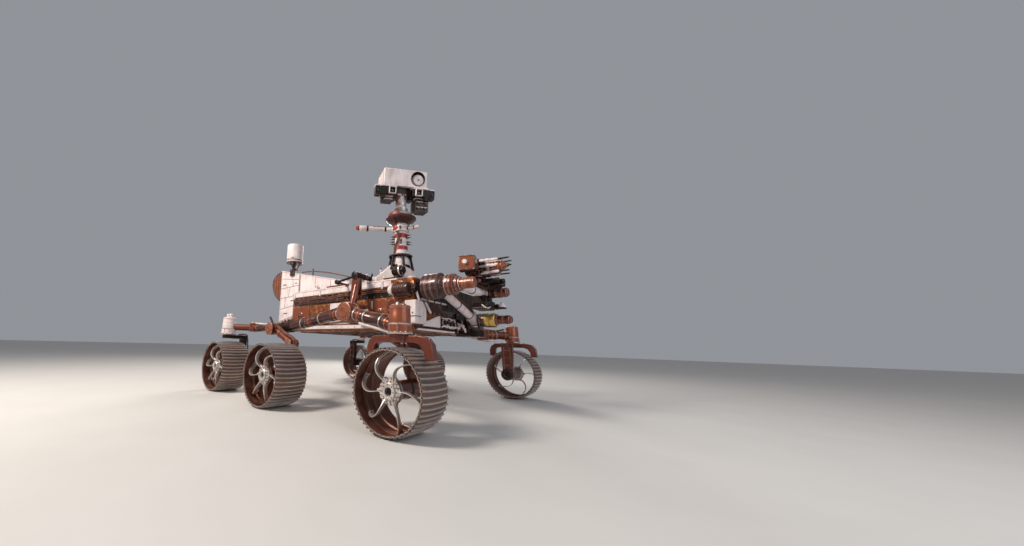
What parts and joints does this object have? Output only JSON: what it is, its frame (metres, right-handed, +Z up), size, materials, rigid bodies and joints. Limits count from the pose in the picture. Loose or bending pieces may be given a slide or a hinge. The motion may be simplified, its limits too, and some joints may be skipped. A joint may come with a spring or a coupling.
{
  "type": "planetary rover",
  "caption": "Wheeled planetary rover with rocker suspension, steered corner wheels, camera mast and a folded tool arm.",
  "frame": {"origin": "on the ground, midway between the two middle wheels", "axes": "+X forward, +Y to the rover's left, +Z up"},
  "size_m": [3.2, 2.74, 2.1347],
  "materials": {
    "wheel_metal": "machined, worn",
    "hub_metal": "machined",
    "bronze_paint": "satin",
    "dark_paint": "satin",
    "white_paint": "matte",
    "red_paint": "satin",
    "gold": "foil",
    "brown_foil": "satin",
    "grey_metal": "brushed"
  },
  "bodies": {
    "frame": {"arm_mount": "dark_paint", "bogie_left": "bronze_paint", "bogie_right": "bronze_paint", "booms": "white_paint", "chassis": "brown_foil", "corner_box": "bronze_paint", "deck": "white_paint", "differential": "dark_paint", "dish_base": "white_paint", "front_cameras": "white_paint", "generator": "white_paint", "generator_cradle": "grey_metal", "gusset_left": "white_paint", "gusset_right": "white_paint", "heat_panel_left": "white_paint", "heat_panel_right": "white_paint", "mast": "white_paint", "mast_base": "white_paint", "relay_antenna": "white_paint", "rocker_left": "bronze_paint", "rocker_right": "bronze_paint", "rod_antenna": "dark_paint"},
    "steer_front_right": {"knuckle_front_right": "bronze_paint"},
    "wheel_front_right": {"rim_front_right": "wheel_metal", "hub_front_right": "hub_metal"},
    "wheel_middle_right": {"rim_middle_right": "wheel_metal", "hub_middle_right": "hub_metal"},
    "steer_rear_right": {"knuckle_rear_right": "bronze_paint"},
    "wheel_rear_right": {"rim_rear_right": "wheel_metal", "hub_rear_right": "hub_metal"},
    "steer_front_left": {"knuckle_front_left": "bronze_paint"},
    "wheel_front_left": {"rim_front_left": "wheel_metal", "hub_front_left": "hub_metal"},
    "wheel_middle_left": {"rim_middle_left": "wheel_metal", "hub_middle_left": "hub_metal"},
    "steer_rear_left": {"knuckle_rear_left": "bronze_paint"},
    "wheel_rear_left": {"rim_rear_left": "wheel_metal", "hub_rear_left": "hub_metal"},
    "dish_turn": {"dish_yoke": "dark_paint"},
    "dish_tilt": {"dish": "white_paint"},
    "neck": {"head_neck": "white_paint"},
    "head": {"head_box": "white_paint", "camera_bar": "dark_paint"},
    "arm_turn": {"arm_shoulder": "bronze_paint"},
    "arm_upper": {"upper_arm": "white_paint"},
    "arm_fore": {"forearm": "white_paint"},
    "arm_wrist": {"wrist": "bronze_paint"},
    "tools": {"turret": "bronze_paint", "turret_box": "bronze_paint"}
  },
  "joints": [
    {"name": "steering_front_right", "type": "hinge", "parent": "frame", "child": "steer_front_right", "pos_m": [1.22, -1.12, 0.6], "axis": [0, 0, 1], "range_deg": [-90, 90]},
    {"name": "roll_front_right", "type": "hinge", "parent": "steer_front_right", "child": "wheel_front_right", "pos_m": [1.22, -1.12, 0.263], "axis": [0, 1, 0], "continuous": true},
    {"name": "roll_middle_right", "type": "hinge", "parent": "frame", "child": "wheel_middle_right", "pos_m": [0, -1.22, 0.263], "axis": [0, 1, 0], "continuous": true},
    {"name": "steering_rear_right", "type": "hinge", "parent": "frame", "child": "steer_rear_right", "pos_m": [-1.11, -1.12, 0.6], "axis": [0, 0, 1], "range_deg": [-90, 90]},
    {"name": "roll_rear_right", "type": "hinge", "parent": "steer_rear_right", "child": "wheel_rear_right", "pos_m": [-1.11, -1.12, 0.263], "axis": [0, 1, 0], "continuous": true},
    {"name": "steering_front_left", "type": "hinge", "parent": "frame", "child": "steer_front_left", "pos_m": [1.22, 1.12, 0.6], "axis": [0, 0, 1], "range_deg": [-90, 90]},
    {"name": "roll_front_left", "type": "hinge", "parent": "steer_front_left", "child": "wheel_front_left", "pos_m": [1.22, 1.12, 0.263], "axis": [0, 1, 0], "continuous": true},
    {"name": "roll_middle_left", "type": "hinge", "parent": "frame", "child": "wheel_middle_left", "pos_m": [0, 1.22, 0.263], "axis": [0, 1, 0], "continuous": true},
    {"name": "steering_rear_left", "type": "hinge", "parent": "frame", "child": "steer_rear_left", "pos_m": [-1.11, 1.12, 0.6], "axis": [0, 0, 1], "range_deg": [-90, 90]},
    {"name": "roll_rear_left", "type": "hinge", "parent": "steer_rear_left", "child": "wheel_rear_left", "pos_m": [-1.11, 1.12, 0.263], "axis": [0, 1, 0], "continuous": true},
    {"name": "dish_azimuth", "type": "hinge", "parent": "frame", "child": "dish_turn", "pos_m": [-0.1, 0.35, 1.17], "axis": [0, 0, 1], "range_deg": [-180, 180]},
    {"name": "dish_elevation", "type": "hinge", "parent": "dish_turn", "child": "dish_tilt", "pos_m": [-0.1, 0.35, 1.24], "axis": [0, 1, 0], "range_deg": [0, 70]},
    {"name": "head_pan", "type": "hinge", "parent": "frame", "child": "neck", "pos_m": [0.78, -0.49, 1.74], "axis": [0, 0, 1], "range_deg": [-140, 210]},
    {"name": "head_tilt", "type": "hinge", "parent": "neck", "child": "head", "pos_m": [0.78, -0.49, 1.9], "axis": [-0.6293, -0.7771, 0], "range_deg": [-80, 95]},
    {"name": "arm_azimuth", "type": "hinge", "parent": "frame", "child": "arm_turn", "pos_m": [1.15, 0.25, 0.7], "axis": [0, 0, 1], "range_deg": [0, 95]},
    {"name": "arm_elevation", "type": "hinge", "parent": "arm_turn", "child": "arm_upper", "pos_m": [1.15, 0.25, 0.8], "axis": [-1, 0, 0], "range_deg": [-45, 75]},
    {"name": "arm_elbow", "type": "hinge", "parent": "arm_upper", "child": "arm_fore", "pos_m": [1.3, -0.51, 1.02], "axis": [1, 0, 0], "range_deg": [0, 150]},
    {"name": "arm_wrist_bend", "type": "hinge", "parent": "arm_fore", "child": "arm_wrist", "pos_m": [1.4, 0.15, 1.035], "axis": [1, 0, 0], "range_deg": [-100, 0]},
    {"name": "turret_turn", "type": "hinge", "parent": "arm_wrist", "child": "tools", "pos_m": [1.3, -0.06, 1.14], "axis": [0, 0, 1], "range_deg": [-170, 170]}
  ]
}
